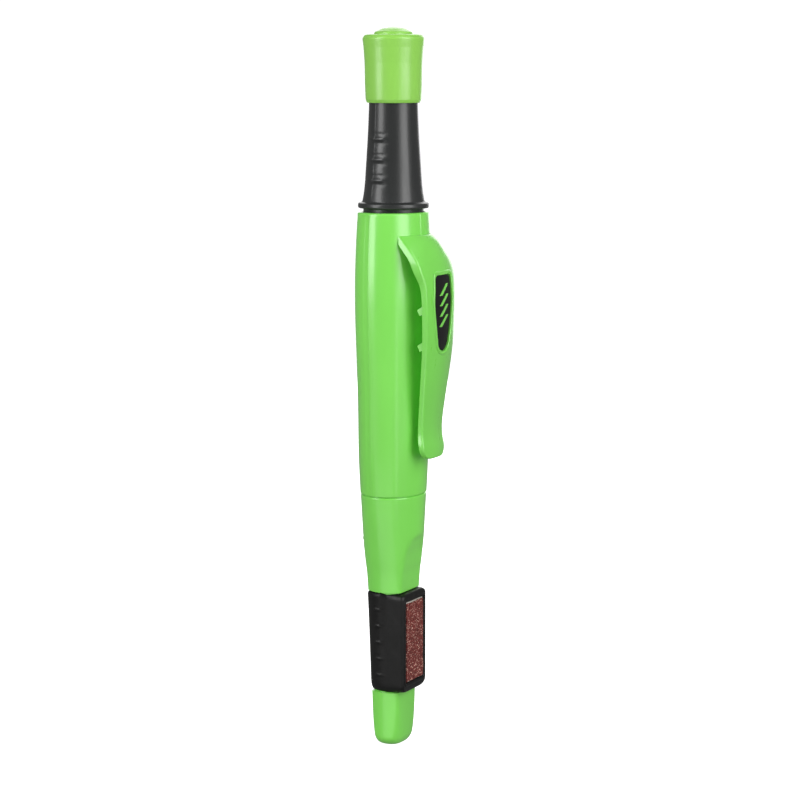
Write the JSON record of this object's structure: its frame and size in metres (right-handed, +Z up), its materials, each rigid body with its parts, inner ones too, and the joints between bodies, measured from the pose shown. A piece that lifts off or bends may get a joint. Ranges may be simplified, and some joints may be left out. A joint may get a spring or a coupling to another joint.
{
  "type": "lead holder",
  "caption": "Push-button lead holder for a flat marking lead, standing in a holster with a pocket clip, a grip sleeve and an abrasive strip.",
  "frame": {"origin": "centre of the holster's flat foot", "axes": "+Z up along the common axis to the push button, +X through the pocket clip and the abrasive strip"},
  "size_m": [0.0213, 0.0202, 0.165],
  "materials": {
    "holster_green": "satin moulded",
    "clip_green": "satin moulded",
    "button_green": "soft matte",
    "barrel_grey": "satin",
    "nose_grey": "matte",
    "black_elastomer": "matte moulded",
    "brake_rubber": "matte",
    "badge_black": "matte inlay",
    "backing_paper": "torn edge",
    "abrasive_grit": "coarse grit",
    "graphite": "burnished graphite",
    "inner_white": "moulded",
    "clutch_brass": "turned",
    "spring_steel": "drawn wire",
    "tip_steel": "turned"
  },
  "bodies": {
    "holster": {"holster_lower_shell": "holster_green", "holster_upper_shell": "holster_green", "grip_sleeve": "black_elastomer", "abrasive_backing": "backing_paper", "abrasive_strip": "abrasive_grit"},
    "clip": {"pocket_clip": "clip_green", "clip_badge": "badge_black"},
    "pen": {"barrel": "barrel_grey", "nose_section": "nose_grey", "nose_tip": "tip_steel", "lead_brake": "brake_rubber", "clutch_sleeve": "inner_white", "lower_guide_bush": "inner_white", "upper_guide_bush": "inner_white", "return_spring": "spring_steel"},
    "plunger": {"lead_tube": "inner_white", "spring_collar": "inner_white", "chuck_body": "clutch_brass"},
    "clutch": {"clutch_ring": "clutch_brass"},
    "jaw_right": {"chuck_jaw_right": "clutch_brass"},
    "jaw_left": {"chuck_jaw_left": "clutch_brass"},
    "button": {"push_button": "button_green"},
    "lead": {"flat_lead": "graphite"}
  },
  "joints": [
    {"name": "pen_draw", "type": "slide", "parent": "holster", "child": "pen", "axis": [0, 0, 1], "range_m": [0, 0.09]},
    {"name": "clip_flex", "type": "hinge", "parent": "holster", "child": "clip", "pos_m": [0.0091, 0, 0.1185], "axis": [0, -1, 0], "range_deg": [0, 4], "stiffness_Nm_per_rad": 1},
    {"name": "button_press", "type": "slide", "parent": "pen", "child": "plunger", "axis": [0, 0, -1], "range_m": [0, 0.0025], "stiffness_N_per_m": 400, "springref_m": -0.002, "deforming": ["return_spring"]},
    {"name": "clutch_ring_slide", "type": "slide", "parent": "pen", "child": "clutch", "axis": [0, 0, -1], "range_m": [0, 0.0011]},
    {"name": "jaw_right_open", "type": "hinge", "parent": "plunger", "child": "jaw_right", "pos_m": [0.002, 0, 0.0637], "axis": [0, -1, 0], "range_deg": [0, 2.7]},
    {"name": "jaw_left_open", "type": "hinge", "parent": "plunger", "child": "jaw_left", "pos_m": [-0.002, 0, 0.0637], "axis": [0, 1, 0], "range_deg": [0, 2.7]},
    {"name": "button_pull", "type": "slide", "parent": "plunger", "child": "button", "axis": [0, 0, 1], "range_m": [0, 0.02]},
    {"name": "lead_feed", "type": "slide", "parent": "plunger", "child": "lead", "axis": [0, 0, -1], "range_m": [0, 0.008]}
  ],
  "couplings": [
    {"joint": "clutch_ring_slide", "follows": "button_press", "ratio": 0.4},
    {"joint": "jaw_right_open", "follows": "button_press", "rad_per_m": 17.45},
    {"joint": "jaw_left_open", "follows": "button_press", "rad_per_m": 17.45}
  ]
}
